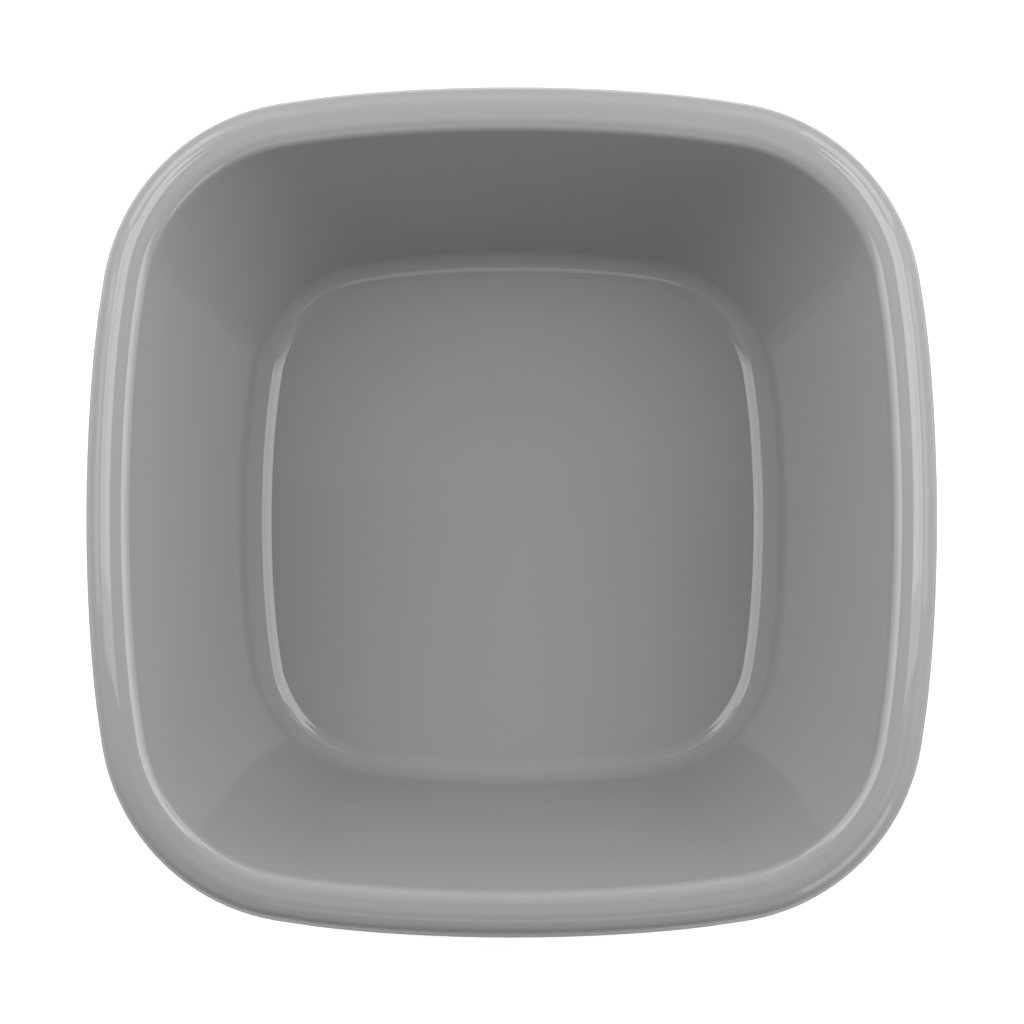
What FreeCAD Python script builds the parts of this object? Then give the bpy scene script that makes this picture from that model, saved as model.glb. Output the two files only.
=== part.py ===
import FreeCAD, Part
import math
import os

from FreeCAD import Vector

# Square washing-up bowl, moulded in one piece.
# Millimetres and degrees. The bowl stands on z = 0, centred on the Z axis.

# Overall size
WIDTH = 320.0            # across the lip, middle of one side to middle of the other
HEIGHT = 140.0           # table to the top of the rim
SIDE_BOW = 7.0           # half of the angle that each bowed side turns through

# Tub
WALL = 2.0               # wall and rim
FLOOR = 2.2
WALL_DRAFT = 12.9        # the wall leans out by this from upright, in the middle of a side
FLOOR_CORNER_R = 54.0    # plan radius of the corners, at the floor
FLOOR_FILLET_R = 12.0    # floor into wall, inside

# Rim
LIP_CORNER_R = 80.0      # plan radius of the corners, at the edge of the lip
LIP_DEPTH = 18.0         # top of the rim to the edge of the lip
LIP_DRAFT = 15.0         # the lip flares out by this from upright
LIP_ROLL_R = 9.5         # top of the rim into the lip
RIM_FLAT = 2.3           # level strip along the top of the rim
MOUTH_ROLL_R = 5.5       # top of the rim into the inner wall

# Underside
BASE_BEVELS = 4          # narrow bevels that follow the round from the base into the wall
FOOT_HEIGHT = 1.5        # the base stands this far off the table
FOOT_WIDTH = 3.0
FOOT_INSET = 3.0         # from the edge of the flat base to the foot
GATE_DIA = 18.0          # shallow round recess around the moulding gate
GATE_DEPTH = 0.5
GATE_STUB_DIA = 4.0      # what is left of the gate
GATE_STUB_HEIGHT = 0.8

NODE = "bowl"

# Angles in radians, and the slants that they give
BOW = math.radians(SIDE_BOW)
WALL_TURN = math.radians(90 - WALL_DRAFT)
LIP_TURN = math.radians(90 - LIP_DRAFT)
WALL_SLANT = math.tan(math.radians(WALL_DRAFT))
LIP_SLANT = math.tan(math.radians(LIP_DRAFT))

# Level cuts through a slanted wall are a little wider than the wall is thick
WALL_ACROSS = WALL / math.cos(math.radians(WALL_DRAFT))
LIP_ACROSS = WALL / math.cos(math.radians(LIP_DRAFT))


def reach(radius, turn):
    """How far back from the corner a round of this radius starts."""
    return radius * math.tan(turn / 2)


def bevel(radius, turn):
    """How far back from the corner a bevel starts that touches such a round in its middle."""
    return radius * (math.tan(turn / 2) - math.tan(turn / 4))


# Levels
BASE_Z = FOOT_HEIGHT
FLOOR_Z = BASE_Z + FLOOR
LOW_Z = FLOOR_Z + FLOOR_FILLET_R
LIP_Z = HEIGHT - LIP_DEPTH
HIGH_Z = HEIGHT - MOUTH_ROLL_R
UNDER_Z = HEIGHT - WALL

# Half widths and corners where the faces would meet if nothing was rounded
BASE_ROUND_R = FLOOR_FILLET_R + WALL
BASE_REACH = reach(BASE_ROUND_R, WALL_TURN)
RIM_WIDTH = reach(LIP_ROLL_R, LIP_TURN) + RIM_FLAT + reach(MOUTH_ROLL_R, WALL_TURN)
LIP_TO_MOUTH = LIP_DEPTH * LIP_SLANT + RIM_WIDTH
MOUTH_HALF = WIDTH / 2 - LIP_TO_MOUTH
MOUTH_CORNER_R = LIP_CORNER_R - LIP_TO_MOUTH
FLOOR_HALF = MOUTH_HALF - (HEIGHT - FLOOR_Z) * WALL_SLANT


def outline(half_width, corner_r, z):
    """A square with bowed sides and round corners: eight arcs, each running on into the next."""
    sine, cosine = math.sin(BOW), math.cos(BOW)
    side_r = (half_width - corner_r * (cosine - sine)) / (1 + sine - cosine)
    side_centre = Vector(half_width - side_r, 0, z)
    corner_centre = Vector((side_r - corner_r) * sine, (side_r - corner_r) * sine, z)
    up = Vector(0, 0, 1)
    edges = []
    for quarter in range(4):
        side = Part.makeCircle(side_r, side_centre, up, -SIDE_BOW, SIDE_BOW)
        corner = Part.makeCircle(corner_r, corner_centre, up, SIDE_BOW, 90 - SIDE_BOW)
        for edge in (side, corner):
            edge.rotate(Vector(0, 0, 0), up, 90 * quarter)
            edges.append(edge)
    return Part.Wire(edges)


def low_wall(z, outward=0.0):
    """The inner wall near the floor, where it follows the floor, or a line outside it."""
    spread = (z - FLOOR_Z) * WALL_SLANT + outward
    return outline(FLOOR_HALF + spread, FLOOR_CORNER_R + spread, z)


def base_curve(turn):
    """The outside of the tub on the round of the base, where it has turned this far up."""
    rise = BASE_ROUND_R * (1 - math.cos(turn))
    inset = BASE_REACH - BASE_ROUND_R * math.sin(turn) + rise * WALL_SLANT
    return low_wall(BASE_Z + rise, WALL_ACROSS - inset)


def high_wall(z, outward=0.0):
    """The inner wall near the rim, where it follows the rim, or a line outside it."""
    spread = (z - HEIGHT) * WALL_SLANT + outward
    return outline(MOUTH_HALF + spread, MOUTH_CORNER_R + spread, z)


def lip(z, inward=0.0):
    """The outside of the lip, or a line inside it."""
    inset = (z - LIP_Z) * LIP_SLANT + inward
    return outline(WIDTH / 2 - inset, LIP_CORNER_R - inset, z)


def through(*outlines):
    """Solid with straight sides from each outline to the next."""
    return Part.makeLoft(list(outlines), True, True)


def rounded(shape, radius, wire):
    """The shape with its edges along this wire rounded."""
    edges = []
    for edge in shape.Edges:
        middle = edge.valueAt((edge.FirstParameter + edge.LastParameter) / 2)
        if Part.Vertex(middle).distToShape(wire)[0] < 0.01:
            edges.append(edge)
    return shape.makeFillet(radius, edges)


# Space inside the bowl
floor_edge = low_wall(FLOOR_Z)
cavity = through(floor_edge, low_wall(LOW_Z), high_wall(HIGH_Z), high_wall(HEIGHT + WALL))
cavity = rounded(cavity, FLOOR_FILLET_R, floor_edge)

# Tub, still solid, with bevels round its base and one more where it spreads into the rim
base_round = [base_curve(WALL_TURN * step / BASE_BEVELS) for step in range(BASE_BEVELS + 1)]
spread = bevel(MOUTH_ROLL_R - WALL, WALL_TURN)
tub = through(
    *base_round,
    low_wall(LOW_Z, WALL_ACROSS),
    high_wall(UNDER_Z - spread * math.sin(WALL_TURN), WALL_ACROSS),
    high_wall(UNDER_Z, WALL_ACROSS + spread),
    high_wall(HEIGHT - WALL / 2, WALL_ACROSS + spread),
)

# Rim, as a lid with a flared lip, hollowed from below
rim_edge = lip(HEIGHT)
rim = rounded(through(lip(LIP_Z), rim_edge), LIP_ROLL_R, rim_edge)
spread = bevel(LIP_ROLL_R - WALL, LIP_TURN)
hollow = through(
    lip(LIP_Z - WALL, LIP_ACROSS),
    lip(UNDER_Z - spread * math.sin(LIP_TURN), LIP_ACROSS),
    lip(UNDER_Z, LIP_ACROSS + spread),
)
rim = rim.cut(hollow)

# Tub and rim in one, opened by the space inside
bowl = tub.fuse(rim).cut(cavity)
bowl = rounded(bowl, MOUTH_ROLL_R, high_wall(HEIGHT))

# Foot ring under the flat part of the base
foot_inset = BASE_REACH + FOOT_INSET - WALL_ACROSS
foot = Part.Face(low_wall(BASE_Z, -foot_inset))
foot = foot.cut(Part.Face(low_wall(BASE_Z, -foot_inset - FOOT_WIDTH)))
foot = foot.extrude(Vector(0, 0, FOOT_HEIGHT + FLOOR / 2))
foot.translate(Vector(0, 0, -FOOT_HEIGHT))
bowl = bowl.fuse(foot)

# Moulding gate in the middle of the base
recess = Part.makeCylinder(GATE_DIA / 2, FOOT_HEIGHT + GATE_DEPTH)
stub = Part.makeCylinder(GATE_STUB_DIA / 2, GATE_STUB_HEIGHT + FLOOR / 4)
stub.translate(Vector(0, 0, BASE_Z + GATE_DEPTH - GATE_STUB_HEIGHT))
bowl = bowl.cut(recess).fuse(stub).removeSplitter()

solid = bowl.Solids[0]
print("valid", bowl.isValid(), "solids", len(bowl.Solids), "faces", len(solid.Faces))
print("volume cm3", round(solid.Volume / 1000, 1))

os.makedirs("parts", exist_ok=True)
solid.exportStep("parts/" + NODE + ".step")
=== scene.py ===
import math

import bpy
import numpy as np
from mathutils import Euler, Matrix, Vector


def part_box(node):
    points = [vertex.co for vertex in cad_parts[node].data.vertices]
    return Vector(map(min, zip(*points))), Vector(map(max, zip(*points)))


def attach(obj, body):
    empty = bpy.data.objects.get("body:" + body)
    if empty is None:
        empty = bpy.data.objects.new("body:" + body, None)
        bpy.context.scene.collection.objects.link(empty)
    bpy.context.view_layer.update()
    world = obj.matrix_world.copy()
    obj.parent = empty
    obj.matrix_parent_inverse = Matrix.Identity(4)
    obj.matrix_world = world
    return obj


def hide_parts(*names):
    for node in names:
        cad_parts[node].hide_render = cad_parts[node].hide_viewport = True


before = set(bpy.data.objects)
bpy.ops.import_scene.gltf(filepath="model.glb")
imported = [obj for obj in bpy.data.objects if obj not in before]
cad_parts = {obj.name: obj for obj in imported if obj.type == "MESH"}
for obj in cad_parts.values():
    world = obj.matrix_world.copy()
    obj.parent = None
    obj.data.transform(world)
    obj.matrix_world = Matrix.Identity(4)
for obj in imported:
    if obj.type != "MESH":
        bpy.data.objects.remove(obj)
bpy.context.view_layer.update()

# Square washing-up bowl, as one smooth skin. Metres and radians.
MM = 0.001

# Sizes of the bowl, the overall ones from the frame and the rest as in the solid
HALF_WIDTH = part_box("bowl")[1].x
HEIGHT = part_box("bowl")[1].z
SIDE_BOW = math.radians(7.0)            # half of the angle that each bowed side turns through
WALL = 2.0 * MM
FLOOR = 2.2 * MM
WALL_DRAFT = math.radians(12.9)         # the wall leans out by this, in the middle of a side
FLOOR_CORNER_R = 54.0 * MM              # plan radius of the corners, at the floor
LIP_CORNER_R = 80.0 * MM                # plan radius of the corners, at the edge of the lip
LIP_DEPTH = 18.0 * MM                   # top of the rim to the edge of the lip
LIP_DRAFT = math.radians(15.0)          # the lip flares out by this
LIP_ROLL_R = 9.5 * MM                   # top of the rim into the lip
RIM_FLAT = 2.3 * MM                     # level strip along the top of the rim
MOUTH_ROLL_R = 5.5 * MM                 # top of the rim into the inner wall
BASE_ROUND_R = 14.0 * MM                # base into the outer wall
FOOT_HEIGHT = 1.5 * MM
FOOT_WIDTH = 3.0 * MM
FOOT_INSET = 3.0 * MM                   # from the edge of the flat base to the foot
GATE_R = 9.0 * MM                       # shallow round recess around the moulding gate
GATE_DEPTH = 0.5 * MM
GATE_STUB_R = 2.0 * MM                  # what is left of the gate
GATE_STUB_HEIGHT = 0.8 * MM

# Forms that are finer than in the solid
FLOW = math.radians(4.0)                # sides and corners run into each other over this turn each way
FLOOR_HOLLOW_R = 13.7 * MM              # floor into wall, inside
FLOOR_EDGE_TURN = math.radians(15.0)    # the hollow meets the floor at this angle
FLOOR_CREASE = 0.3 * MM                 # width of the crease where they meet
LIP_EDGE_R = 0.6 * MM
FOOT_EDGE_R = 0.5 * MM
GATE_EDGE_R = 0.2 * MM

# Steps of the mesh
SIDE_STEPS = 16
CORNER_STEPS = 24
ROLL_STEPS = 16
EDGE_STEPS = 5
WALL_STEPS = 10
RIM_STEPS = 2
LIP_STEPS = 3
BASE_STEPS = 6
FLOW_STEPS = 9
FLOOR_ROWS = (0.1, 0.3, 0.5, 0.7, 0.9, 1.0)     # shares of the way from the middle to the floor's edge

# Camera, as the photo was taken
VIEW_TILT = math.radians(1.5)
VIEW_LEAN = math.radians(0.2)
VIEW_DISTANCE = 907.5 * MM
VIEW_AIM = (0.2 * MM, -0.6 * MM)        # middle of the view, level with the edge of the lip
VIEW_LENS = 84.9
SENSOR = 36.0

# Angles: a quarter turn in plan, and leans from straight up of what faces sideways and what faces down
QUARTER = math.pi / 2
SIDEWAYS = math.pi / 2
DOWN = math.pi
LIP_TURN = SIDEWAYS - LIP_DRAFT
WALL_TURN = SIDEWAYS - WALL_DRAFT


def directions_round():
    """Outward directions once round the bowl, as turns in plan: finer steps in the corners."""
    quarter = np.concatenate([
        np.linspace(-SIDE_BOW, SIDE_BOW, SIDE_STEPS, endpoint=False),
        np.linspace(SIDE_BOW, QUARTER - SIDE_BOW, CORNER_STEPS, endpoint=False),
    ])
    return np.concatenate([quarter + QUARTER * k for k in range(4)])


def away(turn):
    """Unit vectors in plan that point outwards at these turns."""
    return np.column_stack([np.cos(turn), np.sin(turn)])


TURNS = directions_round()
AWAY = away(TURNS)


def outline(half_width, corner_r):
    """Square with bowed sides and round corners, one point for each outward direction.

    Sides and corners are arcs. Taking the mean over a few nearby turns lets them flow into each other.
    """
    sine, cosine = math.sin(SIDE_BOW), math.cos(SIDE_BOW)
    side_r = (half_width - corner_r * (cosine - sine)) / (1 + sine - cosine)
    corner_at = (side_r - corner_r) * sine * math.sqrt(2)

    def arcs(turn):
        """Centre and radius of the arc that faces each way."""
        side = np.round(turn / QUARTER) * QUARTER
        corner = np.floor(turn / QUARTER) * QUARTER + QUARTER / 2
        on_side = np.abs(turn - side) <= SIDE_BOW
        centre = away(np.where(on_side, side, corner))
        centre *= np.where(on_side, half_width - side_r, corner_at)[:, None]
        return centre, np.where(on_side, side_r, corner_r)

    def extent_and_slide(turn):
        """How far the outline extends in each direction, and how far sideways it touches there."""
        extent, slide = 0, 0
        for nudge in np.linspace(-FLOW, FLOW, FLOW_STEPS):
            centre, radius = arcs(turn + nudge)
            extent += ((centre * away(turn + nudge)).sum(axis=1) + radius) / FLOW_STEPS
            slide += (centre * away(turn + nudge + QUARTER)).sum(axis=1) / FLOW_STEPS
        return extent, slide

    extent, slide = extent_and_slide(TURNS)
    extent -= extent_and_slide(np.zeros(1))[0] - half_width
    return AWAY * extent[:, None] + away(TURNS + QUARTER) * slide[:, None]


def level(plan, z):
    """Points of a plan outline at one height."""
    return np.column_stack([plan, np.full(len(plan), z)])


def circle(radius, z):
    """Points of a circle round the middle at one height."""
    return level(AWAY * radius, z)


def facing(lean):
    """Directions that lean away from straight up by this angle, outwards if positive."""
    lean = np.broadcast_to(lean, TURNS.shape)[:, None]
    return np.hstack([AWAY * np.sin(lean), np.cos(lean)])


class Skin:
    """Rows of points and of the directions that the surface faces there."""

    def __init__(self):
        self.rows = []

    def row(self, points, lean):
        """One row, facing this lean."""
        self.rows.append((points, facing(lean)))

    def run(self, end, lean, steps):
        """Rows on a straight slant between the last row and the next one."""
        start = self.rows[-1][0]
        for share in np.linspace(0, 1, steps + 1)[1:-1]:
            self.row(start + (end - start) * share, lean)

    def arc(self, centre, radius, start, end, steps=ROLL_STEPS):
        """Rows round a roll, or round a hollow one if the radius is negative."""
        for share in np.linspace(0, 1, steps + 1):
            lean = start + (end - start) * share
            self.row(centre + facing(lean) * radius, lean)


def reach(radius, turn):
    """How far back from the corner a round of this radius starts."""
    return radius * np.tan(turn / 2)


# Levels and plan sizes where the faces would meet if nothing was rounded
BASE_Z = FOOT_HEIGHT
FLOOR_Z = BASE_Z + FLOOR
LIP_Z = HEIGHT - LIP_DEPTH
LIP_ACROSS = WALL / math.cos(LIP_DRAFT)
WALL_ACROSS = WALL / math.cos(WALL_DRAFT)
LIP_TO_ROLL = LIP_DEPTH * math.tan(LIP_DRAFT) + reach(LIP_ROLL_R, LIP_TURN)
LIP_TO_MOUTH = LIP_TO_ROLL + RIM_FLAT + reach(MOUTH_ROLL_R, WALL_TURN)
MOUTH_HALF = HALF_WIDTH - LIP_TO_MOUTH
FLOOR_HALF = MOUTH_HALF - (HEIGHT - FLOOR_Z) * math.tan(WALL_DRAFT)
BASE_HALF = FLOOR_HALF - FLOOR * math.tan(WALL_DRAFT) + WALL_ACROSS
FOOT_HALF = BASE_HALF - reach(BASE_ROUND_R, WALL_TURN) - FOOT_INSET
FOOT_CORNER_R = FLOOR_CORNER_R - (FLOOR_HALF - FOOT_HALF)


def tub_and_rim(skin):
    """From the middle of the floor up the wall, over the rim and down the outside to the base."""
    lip = outline(HALF_WIDTH, LIP_CORNER_R)
    mouth = outline(MOUTH_HALF, LIP_CORNER_R - LIP_TO_MOUTH)
    floor = outline(FLOOR_HALF, FLOOR_CORNER_R)

    # The wall runs straight from the floor to the mouth, and leans more in the corners
    rise = HEIGHT - FLOOR_Z
    draft = np.arctan2(((mouth - floor) * AWAY).sum(axis=1), rise)
    slant = np.column_stack([(mouth - floor) / rise, np.ones(len(floor))])
    inward = facing(draft - SIDEWAYS)

    def inner(z):
        return level(floor, FLOOR_Z) + slant * np.reshape(z - FLOOR_Z, (-1, 1))

    def outer(z):
        return inner(z + WALL * np.sin(draft)) - inward * WALL

    # Inside: floor, hollow into the wall, wall, roll over the mouth
    low = inner(FLOOR_Z + FLOOR_HOLLOW_R * (math.cos(FLOOR_EDGE_TURN) - np.sin(draft)))
    high = inner(HEIGHT - MOUTH_ROLL_R * (1 - np.sin(draft)))
    floor_round = low + inward * FLOOR_HOLLOW_R
    floor_edge = floor_round - facing(-FLOOR_EDGE_TURN) * FLOOR_HOLLOW_R
    floor_edge -= facing(SIDEWAYS) * FLOOR_CREASE
    for share in FLOOR_ROWS:
        skin.row(level(floor_edge[:, :2] * share, FLOOR_Z), 0)
    skin.arc(floor_round, -FLOOR_HOLLOW_R, -FLOOR_EDGE_TURN, draft - SIDEWAYS)
    skin.run(high, draft - SIDEWAYS, WALL_STEPS)
    mouth_round = high - inward * MOUTH_ROLL_R
    skin.arc(mouth_round, MOUTH_ROLL_R, draft - SIDEWAYS, 0)

    # Rim and lip, with a rounded edge
    lip_round = level(lip - AWAY * LIP_TO_ROLL, HEIGHT - LIP_ROLL_R)
    skin.run(lip_round + facing(0) * LIP_ROLL_R, 0, RIM_STEPS)
    skin.arc(lip_round, LIP_ROLL_R, 0, LIP_TURN)
    edge_z = LIP_Z + LIP_EDGE_R
    outer_edge = level(lip - AWAY * reach(LIP_EDGE_R, DOWN - LIP_TURN), edge_z)
    inner_edge = level(lip - AWAY * (LIP_ACROSS - reach(LIP_EDGE_R, LIP_TURN)), edge_z)
    skin.run(outer_edge + facing(LIP_TURN) * LIP_EDGE_R, LIP_TURN, LIP_STEPS)
    skin.arc(outer_edge, LIP_EDGE_R, LIP_TURN, DOWN, EDGE_STEPS)
    skin.arc(inner_edge, LIP_EDGE_R, DOWN, DOWN + LIP_TURN, EDGE_STEPS)

    # Under the rim, down the outside and round to the base
    hollow = lip_round - facing(DOWN + LIP_TURN) * (LIP_ROLL_R - WALL)
    skin.run(hollow, DOWN + LIP_TURN, LIP_STEPS)
    skin.arc(lip_round, WALL - LIP_ROLL_R, DOWN + LIP_TURN, DOWN)
    skin.arc(mouth_round, WALL - MOUTH_ROLL_R, DOWN, SIDEWAYS + draft)
    foot_of_wall = outer(BASE_Z + BASE_ROUND_R * (1 - np.sin(draft)))
    skin.run(foot_of_wall, SIDEWAYS + draft, WALL_STEPS)
    skin.arc(foot_of_wall + inward * BASE_ROUND_R, BASE_ROUND_R, SIDEWAYS + draft, DOWN)


def foot_ring(skin):
    """Down the outside of the foot, across it and up its inside, with rounded edges."""
    def foot(inset, z):
        return level(outline(FOOT_HALF - inset, FOOT_CORNER_R - inset), z)

    edge = FOOT_EDGE_R
    high, low = BASE_Z - edge, edge
    skin.arc(foot(-edge, high), -edge, DOWN, SIDEWAYS, EDGE_STEPS)
    skin.arc(foot(edge, low), edge, SIDEWAYS, DOWN, EDGE_STEPS)
    skin.arc(foot(FOOT_WIDTH - edge, low), edge, DOWN, DOWN + SIDEWAYS, EDGE_STEPS)
    skin.arc(foot(FOOT_WIDTH + edge, high), -edge, DOWN + SIDEWAYS, DOWN, EDGE_STEPS)


def base_and_gate(skin):
    """Flat base, with the shallow recess and the stub of the moulding gate in its middle."""
    edge = GATE_EDGE_R
    top = BASE_Z + GATE_DEPTH
    tip = top - GATE_STUB_HEIGHT
    skin.run(circle(GATE_R, BASE_Z), DOWN, BASE_STEPS)
    skin.arc(circle(GATE_R + edge, BASE_Z + edge), edge, DOWN, DOWN + SIDEWAYS, EDGE_STEPS)
    skin.arc(circle(GATE_R - edge, top - edge), -edge, DOWN + SIDEWAYS, DOWN, EDGE_STEPS)
    skin.arc(circle(GATE_STUB_R + edge, top - edge), -edge, DOWN, SIDEWAYS, EDGE_STEPS)
    skin.arc(circle(GATE_STUB_R - edge, tip + edge), edge, SIDEWAYS, DOWN, EDGE_STEPS)


def bowl_mesh(name):
    """Closed smooth mesh through all rows of the skin, with a point in the middle at each end."""
    skin = Skin()
    tub_and_rim(skin)
    foot_ring(skin)
    base_and_gate(skin)
    rows = skin.rows

    first, final = rows[0][0], rows[-1][0]
    ends = [[0, 0, first[0, 2]], [0, 0, final[0, 2]]]
    points = np.vstack([row for row, _ in rows] + [ends])
    normals = np.vstack([row for _, row in rows] + [[[0, 0, 1], [0, 0, -1]]])
    around = len(TURNS)
    last_row = around * (len(rows) - 1)
    floor_middle = last_row + around
    base_middle = floor_middle + 1

    faces = []
    for here in range(around):
        after = (here + 1) % around
        for row in range(0, last_row, around):
            below = row + around
            faces.append((row + here, below + here, below + after, row + after))
        faces.append((floor_middle, here, after))
        faces.append((base_middle, last_row + after, last_row + here))

    mesh = bpy.data.meshes.new(name)
    mesh.from_pydata(points.tolist(), [], faces)
    mesh.shade_smooth()
    mesh.normals_split_custom_set_from_vertices(normals.tolist())
    return mesh


# Mid grey moulded polypropylene
GREY_DARK = (0.362, 0.366, 0.374, 1)
GREY_LIGHT = (0.378, 0.382, 0.390, 1)
PIGMENT_CLOUDS = {"scale": 22, "detail": 6, "roughness": 0.7}
GLOSS_PATCHES = {"scale": 60, "detail": 4}
SKIN_WAVES = {"scale": 45, "detail": 1}
PATCH_RANGE = (0.3, 0.7)                # noise values that give the glossiest and the dullest patches
PATCH_ROUGHNESS = (0.03, 0.06)          # roughness of those patches
WAVE_STRENGTH = 0.1
WAVE_HEIGHT = 0.1 * MM
PLASTIC_IOR = 1.49


def plastic():
    """Glossy moulded plastic: faint clouds in the pigment, uneven gloss and a slightly wavy skin."""
    material = bpy.data.materials.new("polypropylene")
    material.use_nodes = True
    nodes, links = material.node_tree.nodes, material.node_tree.links
    shader = nodes["Principled BSDF"]
    shader.inputs["IOR"].default_value = PLASTIC_IOR
    place = nodes.new("ShaderNodeTexCoord").outputs["Object"]

    def noise(scale, detail, roughness=0.5):
        node = nodes.new("ShaderNodeTexNoise")
        node.inputs["Scale"].default_value = scale
        node.inputs["Detail"].default_value = detail
        node.inputs["Roughness"].default_value = roughness
        links.new(place, node.inputs["Vector"])
        return node.outputs["Fac"]

    clouds = nodes.new("ShaderNodeMix")
    clouds.data_type = "RGBA"
    clouds.inputs["A"].default_value = GREY_DARK
    clouds.inputs["B"].default_value = GREY_LIGHT
    links.new(noise(**PIGMENT_CLOUDS), clouds.inputs["Factor"])
    links.new(clouds.outputs["Result"], shader.inputs["Base Color"])

    gloss = nodes.new("ShaderNodeMapRange")
    gloss.inputs["From Min"].default_value = PATCH_RANGE[0]
    gloss.inputs["From Max"].default_value = PATCH_RANGE[1]
    gloss.inputs["To Min"].default_value = PATCH_ROUGHNESS[0]
    gloss.inputs["To Max"].default_value = PATCH_ROUGHNESS[1]
    links.new(noise(**GLOSS_PATCHES), gloss.inputs["Value"])
    links.new(gloss.outputs["Result"], shader.inputs["Roughness"])

    wave = nodes.new("ShaderNodeBump")
    wave.inputs["Strength"].default_value = WAVE_STRENGTH
    wave.inputs["Distance"].default_value = WAVE_HEIGHT
    links.new(noise(**SKIN_WAVES), wave.inputs["Height"])
    links.new(wave.outputs["Normal"], shader.inputs["Normal"])
    return material


bowl = bpy.data.objects.new("bowl_shell", bowl_mesh("bowl_shell"))
bpy.context.scene.collection.objects.link(bowl)
bowl.data.materials.append(plastic())
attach(bowl, "root")
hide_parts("bowl")

# Studio floor, lit like the bowl but shown white, so that only the shadow tells it from the background
STUDIO_FLOOR_R = 0.8
STUDIO_FLOOR_GREY = (0.7, 0.7, 0.7, 1)
STUDIO_FLOOR_GLOW = (0.7, 0.7, 0.7, 1)


def white_floor():
    """Matt pale floor that also glows for the camera. Reflections show it without the glow."""
    material = bpy.data.materials.new("floor")
    material.use_nodes = True
    nodes, links = material.node_tree.nodes, material.node_tree.links
    matt = nodes["Principled BSDF"]
    matt.inputs["Base Color"].default_value = STUDIO_FLOOR_GREY
    matt.inputs["Roughness"].default_value = 1.0
    matt.inputs["Specular IOR Level"].default_value = 0.0
    rays = nodes.new("ShaderNodeLightPath").outputs
    glow = nodes.new("ShaderNodeEmission")
    glow.inputs["Color"].default_value = STUDIO_FLOOR_GLOW
    links.new(rays["Is Camera Ray"], glow.inputs["Strength"])
    both = nodes.new("ShaderNodeAddShader")
    links.new(matt.outputs["BSDF"], both.inputs[0])
    links.new(glow.outputs["Emission"], both.inputs[1])
    links.new(both.outputs["Shader"], nodes["Material Output"].inputs["Surface"])
    return material


floor_mesh = bpy.data.meshes.new("floor")
floor_mesh.from_pydata(circle(STUDIO_FLOOR_R, 0).tolist(), [], [range(len(TURNS))])
floor_mesh.materials.append(white_floor())
floor = bpy.data.objects.new("floor", floor_mesh)
bpy.context.scene.collection.objects.link(floor)

# Soft studio light: bright panels high over both sides of the bowl, and weaker ones lower down round it
LIGHT_CENTRE = Vector((0, 0, 60 * MM))
LIGHT_DISTANCE = 1.3
LIGHTS = {
    # bearing in degrees, top and bottom of the panel in degrees from overhead,
    # its two ends in metres along it, and how bright it is
    "right_upper": (0, 18, 38, -0.05, 0.60, 4.5),
    "right_lower": (0, 38, 58, -0.05, 0.60, 3.6),
    "right_low": (0, 64, 86, -0.10, 0.40, 1.2),
    "right_far": (0, 30, 46, 0.60, 1.00, 4.0),
    "right_near_end": (0, 18, 58, -0.16, -0.05, 2.4),
    "right_near": (0, 28, 46, -0.50, -0.16, 0.8),
    "left_upper": (180, 18, 38, -0.60, 0.05, 4.2),
    "left_lower": (180, 38, 58, -0.60, 0.05, 3.4),
    "left_low": (180, 64, 86, -0.40, 0.10, 1.2),
    "left_far": (180, 30, 46, -1.00, -0.60, 3.9),
    "left_near_end": (180, 18, 58, 0.05, 0.16, 2.4),
    "left_near": (180, 36, 56, 0.16, 0.50, 0.4),
    "back_right": (45, 63, 85, -0.35, 0.35, 1.7),
    "back_right_wide": (45, 46, 88, -0.75, 0.75, 0.5),
    "back_left": (135, 63, 85, -0.35, 0.35, 1.7),
    "back_left_wide": (135, 46, 88, -0.75, 0.75, 0.5),
    "front_right": (315, 63, 85, -0.35, 0.35, 1.8),
    "front": (270, 44, 58, -0.35, 0.35, 1.0),
    "overhead": (90, 3, 18, -0.40, 0.40, 0.1),
}


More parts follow.
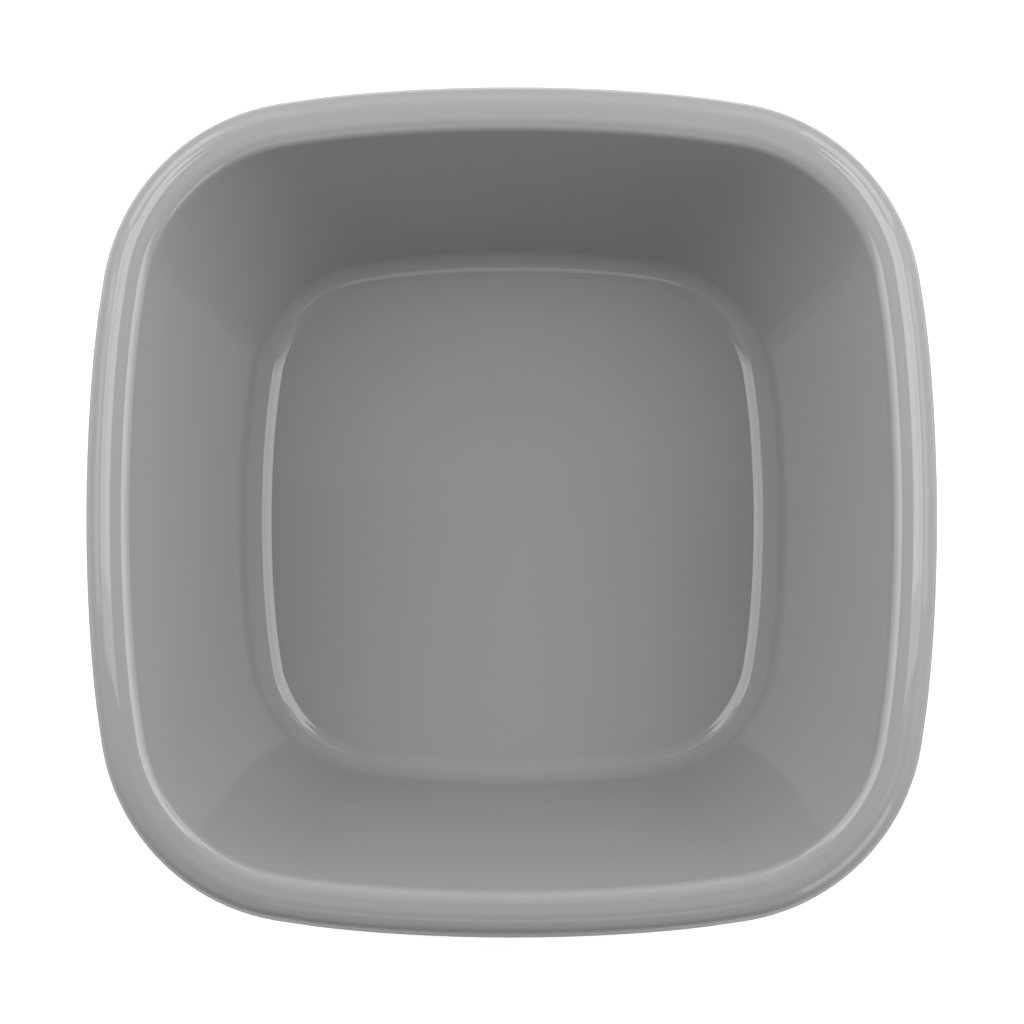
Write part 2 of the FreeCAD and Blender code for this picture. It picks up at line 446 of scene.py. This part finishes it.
def light_panel(name, bearing, top, bottom, start, end, brightness):
    """Area light that faces the bowl, as tall as the two angles from overhead say."""
    bearing = math.radians(bearing)
    middle = math.radians((top + bottom) / 2)
    spread = math.radians(bottom - top)
    along = Vector((-math.sin(bearing), math.cos(bearing), 0))
    side = Vector((math.cos(bearing), math.sin(bearing), 0))
    outward = side * math.sin(middle) + Vector((0, 0, math.cos(middle)))
    lamp = bpy.data.lights.new(name, "AREA")
    lamp.shape = "RECTANGLE"
    lamp.size = end - start
    lamp.size_y = 2 * LIGHT_DISTANCE * math.tan(spread / 2)
    lamp.energy = brightness * math.pi * lamp.size * lamp.size_y
    light = bpy.data.objects.new(name, lamp)
    light.location = LIGHT_CENTRE + outward * LIGHT_DISTANCE + along * (start + end) / 2
    light.rotation_euler = (-outward).to_track_quat("-Z", "Y").to_euler()
    light.visible_camera = False
    bpy.context.scene.collection.objects.link(light)


for name, values in LIGHTS.items():
    light_panel(name, *values)

# Heights above the horizon up to which the backdrop is white, and where it has faded to black
BACKDROP_WHITE = math.radians(20)
BACKDROP_END = math.radians(45)


def white_backdrop():
    """Backdrop all round that the camera, reflections and glass show, and that gives no other light."""
    world = bpy.data.worlds.new("studio")
    world.use_nodes = True
    nodes, links = world.node_tree.nodes, world.node_tree.links
    backdrop = nodes["Background"]

    direction = nodes.new("ShaderNodeSeparateXYZ")
    links.new(nodes.new("ShaderNodeTexCoord").outputs["Generated"], direction.inputs["Vector"])
    fade = nodes.new("ShaderNodeMapRange")
    fade.inputs["From Min"].default_value = math.sin(BACKDROP_WHITE)
    fade.inputs["From Max"].default_value = math.sin(BACKDROP_END)
    fade.inputs["To Min"].default_value = 1.0
    fade.inputs["To Max"].default_value = 0.0
    links.new(direction.outputs["Z"], fade.inputs["Value"])
    links.new(fade.outputs["Result"], backdrop.inputs["Color"])

    rays = nodes.new("ShaderNodeLightPath").outputs
    seen = rays["Is Camera Ray"]
    for ray in ("Is Glossy Ray", "Is Transmission Ray"):
        either = nodes.new("ShaderNodeMath")
        either.operation = "MAXIMUM"
        links.new(seen, either.inputs[0])
        links.new(rays[ray], either.inputs[1])
        seen = either.outputs["Value"]
    links.new(seen, backdrop.inputs["Strength"])
    return world


bpy.context.scene.world = white_backdrop()

camera = bpy.data.objects.new("camera", bpy.data.cameras.new("camera"))
bpy.context.scene.collection.objects.link(camera)
bpy.context.scene.camera = camera
camera.rotation_euler = Euler((VIEW_TILT, VIEW_LEAN, 0))
back = camera.rotation_euler.to_matrix() @ Vector((0, 0, VIEW_DISTANCE))
camera.location = Vector((*VIEW_AIM, LIP_Z)) + back
camera.data.sensor_width = SENSOR
camera.data.lens = VIEW_LENS

bpy.context.scene.view_settings.view_transform = "Standard"
